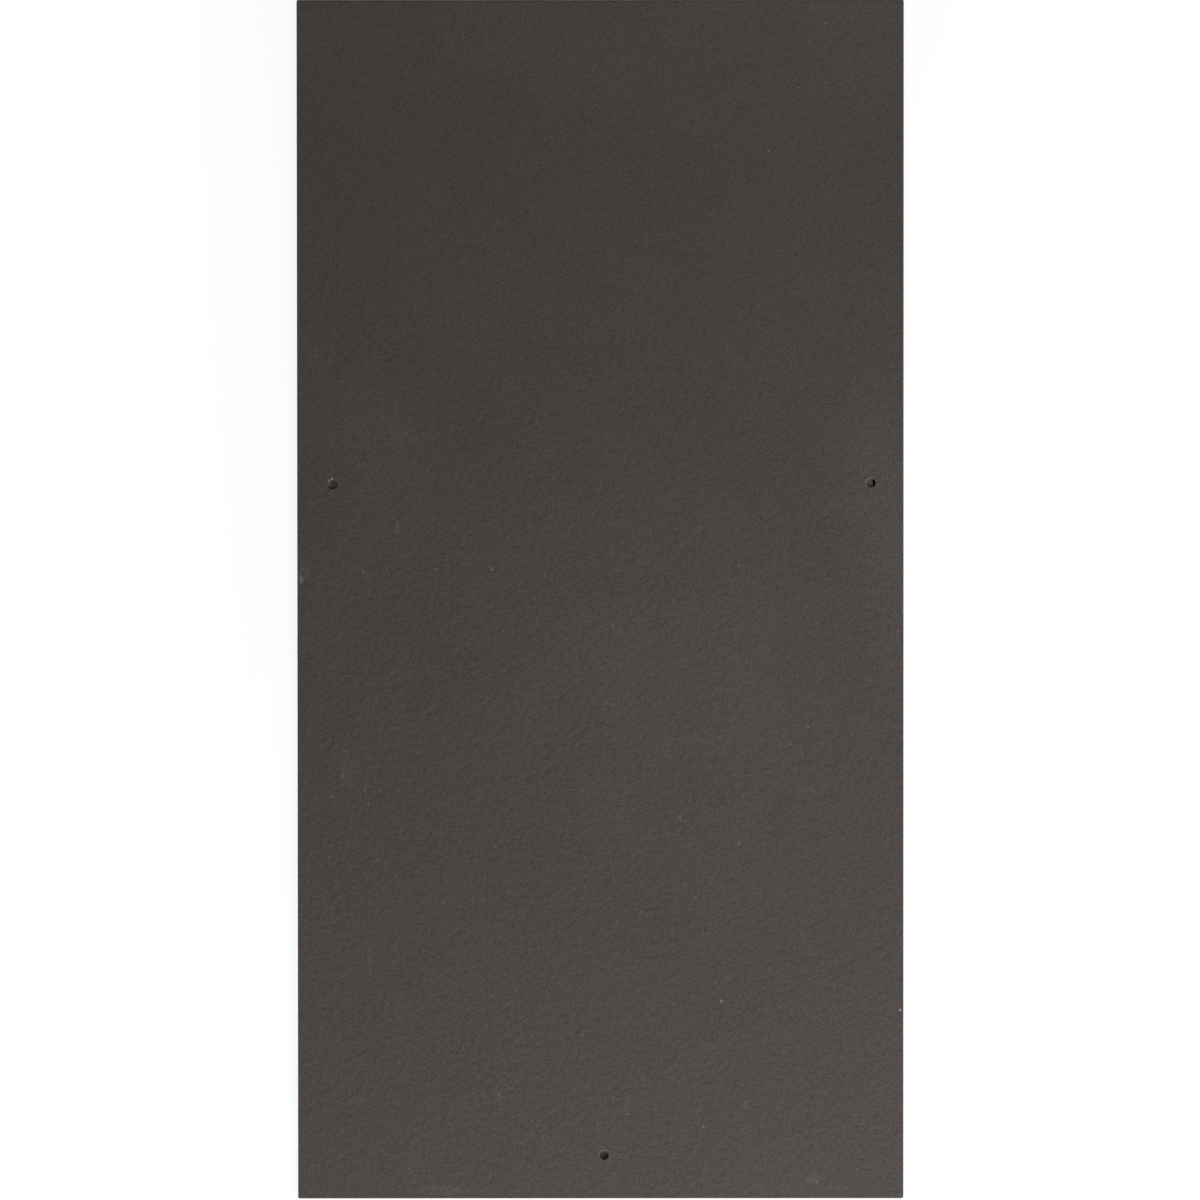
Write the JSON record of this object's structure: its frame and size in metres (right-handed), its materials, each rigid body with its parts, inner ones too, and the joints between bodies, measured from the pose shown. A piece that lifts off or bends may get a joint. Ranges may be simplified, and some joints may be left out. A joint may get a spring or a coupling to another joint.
{
  "type": "fibre cement slate",
  "caption": "Flat rectangular roofing slate of coated fibre cement, with punched nail holes near its side edges and a rivet hole near its tail.",
  "frame": {"origin": "centre of the underside, on the surface that the slate lies on", "axes": "+Y along the length from the tail (rivet hole end) to the head, +X across the width to the right seen from above, +Z out of the weather face"},
  "size_m": [0.3, 0.6, 0.004],
  "materials": {
    "coated_fibre_cement": "matte"
  },
  "bodies": {
    "root": {"slate": "coated_fibre_cement"}
  },
  "joints": []
}
